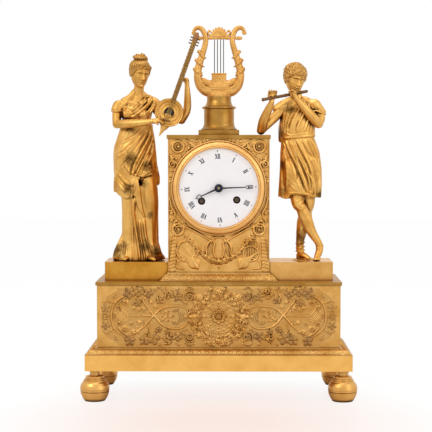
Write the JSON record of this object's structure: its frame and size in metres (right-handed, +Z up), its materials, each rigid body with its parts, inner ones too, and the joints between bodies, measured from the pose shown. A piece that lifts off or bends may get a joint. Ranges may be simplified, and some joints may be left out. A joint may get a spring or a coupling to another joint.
{
  "type": "figural mantel clock",
  "caption": "Gilt bronze mantel clock: two standing musicians beside a square case with a lyre on top, white dial, box base and turned feet.",
  "frame": {"origin": "floor level, under the middle of the clock", "axes": "+Z up, dial faces -Y, +X to the right of the dial as seen from the front"},
  "size_m": [0.3098, 0.1348, 0.4221],
  "materials": {
    "gilt_bronze": "fire-gilt bronze, matt ground with burnished relief",
    "movement_brass": "satin",
    "bell_metal": "turned",
    "steel": "polished",
    "gilt_wire": "drawn wire",
    "blued_steel": "dark blued",
    "white_enamel": "glossy enamel on copper"
  },
  "bodies": {
    "clock": {"foot_front_left": "gilt_bronze", "foot_front_right": "gilt_bronze", "foot_rear_left": "gilt_bronze", "foot_rear_right": "gilt_bronze", "base_plinth": "gilt_bronze", "leaf_moulding": "gilt_bronze", "base_box": "gilt_bronze", "frieze_mount": "gilt_bronze", "base_top_plate": "gilt_bronze", "figure_block_left": "gilt_bronze", "figure_block_right": "gilt_bronze", "fixing_bolts": "steel", "figure_nuts": "steel", "case_shell": "gilt_bronze", "case_skirt": "gilt_bronze", "case_front_mount": "gilt_bronze", "case_cap": "gilt_bronze", "lyre_pedestal": "gilt_bronze", "lyre_frame": "gilt_bronze", "lyre_crossbar": "gilt_bronze", "lyre_strings": "gilt_wire", "bezel": "gilt_bronze", "dial_plate": "movement_brass", "dial_enamel": "white_enamel", "rear_ring": "movement_brass", "movement_bolts": "steel", "front_plate": "movement_brass", "back_plate": "movement_brass", "plate_pillars": "movement_brass", "back_cock": "movement_brass", "bell": "bell_metal", "bell_stand": "steel", "hinge_pin": "steel", "figure_woman": "gilt_bronze", "cittern": "gilt_bronze", "figure_youth": "gilt_bronze", "flute": "gilt_bronze"},
    "minute_hand": {"minute_hand": "blued_steel", "cannon_pinion": "movement_brass", "hand_collet": "blued_steel"},
    "minute_wheel": {"minute_wheel": "movement_brass"},
    "hour_hand": {"hour_hand": "blued_steel", "hour_wheel": "movement_brass"},
    "third_wheel": {"third_wheel": "movement_brass"},
    "escape_wheel": {"escape_wheel": "movement_brass"},
    "centre_wheel": {"centre_wheel": "movement_brass"},
    "intermediate_wheel": {"intermediate_wheel": "movement_brass"},
    "going_barrel": {"going_barrel": "movement_brass"},
    "going_winding_arbor": {"going_winding_arbor": "steel"},
    "strike_barrel": {"strike_barrel": "movement_brass"},
    "strike_winding_arbor": {"strike_winding_arbor": "steel"},
    "locking_wheel": {"locking_wheel": "movement_brass"},
    "fly": {"fly": "movement_brass"},
    "pin_wheel": {"pin_wheel": "movement_brass", "count_wheel": "movement_brass"},
    "pendulum": {"pendulum": "movement_brass"},
    "anchor": {"anchor": "steel"},
    "hammer": {"hammer": "steel"},
    "regulator_arbor": {"regulator_arbor": "steel"},
    "back_door": {"back_door": "movement_brass"}
  },
  "joints": [
    {"name": "minute_hand_turn", "type": "hinge", "parent": "clock", "child": "minute_hand", "pos_m": [0, -0.03, 0.237], "axis": [0, 1, 0], "continuous": true},
    {"name": "minute_wheel_turn", "type": "hinge", "parent": "clock", "child": "minute_wheel", "pos_m": [-0.00044, -0.028, 0.24899], "axis": [0, 1, 0], "continuous": true},
    {"name": "hour_hand_turn", "type": "hinge", "parent": "clock", "child": "hour_hand", "pos_m": [0, -0.03, 0.237], "axis": [0, 1, 0], "continuous": true},
    {"name": "third_wheel_turn", "type": "hinge", "parent": "clock", "child": "third_wheel", "pos_m": [-0.01254, -0.021, 0.24668], "axis": [0, 1, 0], "continuous": true},
    {"name": "escape_wheel_turn", "type": "hinge", "parent": "clock", "child": "escape_wheel", "pos_m": [-0.00071, 0, 0.25649], "axis": [0, 1, 0], "continuous": true},
    {"name": "centre_wheel_turn", "type": "hinge", "parent": "clock", "child": "centre_wheel", "pos_m": [0, 0.003, 0.237], "axis": [0, 1, 0], "continuous": true},
    {"name": "intermediate_wheel_turn", "type": "hinge", "parent": "clock", "child": "intermediate_wheel", "pos_m": [0.01512, -0.0228, 0.24433], "axis": [0, 1, 0], "continuous": true},
    {"name": "going_barrel_turn", "type": "hinge", "parent": "clock", "child": "going_barrel", "pos_m": [0.0202, -0.004, 0.22383], "axis": [0, 1, 0], "continuous": true},
    {"name": "going_winding", "type": "hinge", "parent": "clock", "child": "going_winding_arbor", "pos_m": [0.0202, -0.026, 0.22383], "axis": [0, 1, 0], "range_deg": [0, 1800]},
    {"name": "strike_barrel_turn", "type": "hinge", "parent": "clock", "child": "strike_barrel", "pos_m": [-0.01918, -0.004, 0.22239], "axis": [0, 1, 0], "continuous": true},
    {"name": "strike_winding", "type": "hinge", "parent": "clock", "child": "strike_winding_arbor", "pos_m": [-0.01918, -0.026, 0.22239], "axis": [0, 1, 0], "range_deg": [0, 1800]},
    {"name": "locking_wheel_turn", "type": "hinge", "parent": "clock", "child": "locking_wheel", "pos_m": [-0.02706, -0.014, 0.2543], "axis": [0, 1, 0], "continuous": true},
    {"name": "fly_turn", "type": "hinge", "parent": "clock", "child": "fly", "pos_m": [-0.02083, -0.014, 0.261], "axis": [0, 1, 0], "continuous": true},
    {"name": "pin_wheel_turn", "type": "hinge", "parent": "clock", "child": "pin_wheel", "pos_m": [-0.0277, 0.001, 0.24171], "axis": [0, 1, 0], "continuous": true},
    {"name": "pendulum_swing", "type": "hinge", "parent": "clock", "child": "pendulum", "pos_m": [-0.00123, 0.015, 0.27048], "axis": [0, 1, 0], "range_deg": [-4, 4]},
    {"name": "anchor_swing", "type": "hinge", "parent": "clock", "child": "anchor", "pos_m": [-0.00123, 0.015, 0.27048], "axis": [0, 1, 0], "range_deg": [-4, 4]},
    {"name": "hammer_lift", "type": "hinge", "parent": "clock", "child": "hammer", "pos_m": [-0.03945, 0.023, 0.24856], "axis": [0, 1, 0], "range_deg": [0, 15]},
    {"name": "regulator_turn", "type": "hinge", "parent": "clock", "child": "regulator_arbor", "pos_m": [-0.00174, -0.03, 0.28457], "axis": [0, 1, 0], "range_deg": [-720, 720]},
    {"name": "back_door_swing", "type": "hinge", "parent": "clock", "child": "back_door", "pos_m": [-0.0502, 0.0421, 0.237], "axis": [0, 0, 1], "range_deg": [0, 110]}
  ],
  "couplings": [
    {"joint": "minute_wheel_turn", "follows": "minute_hand_turn", "ratio": -0.33333},
    {"joint": "hour_hand_turn", "follows": "minute_hand_turn", "ratio": 0.083333},
    {"joint": "escape_wheel_turn", "follows": "third_wheel_turn", "ratio": -15},
    {"joint": "centre_wheel_turn", "follows": "third_wheel_turn", "ratio": -0.1},
    {"joint": "intermediate_wheel_turn", "follows": "third_wheel_turn", "ratio": 0.014286},
    {"joint": "going_barrel_turn", "follows": "third_wheel_turn", "ratio": -0.0020408},
    {"joint": "fly_turn", "follows": "locking_wheel_turn", "ratio": -7.7143},
    {"joint": "pin_wheel_turn", "follows": "locking_wheel_turn", "ratio": -0.14545},
    {"joint": "strike_barrel_turn", "follows": "locking_wheel_turn", "ratio": 0.020779},
    {"joint": "anchor_swing", "follows": "pendulum_swing", "ratio": 1}
  ]
}
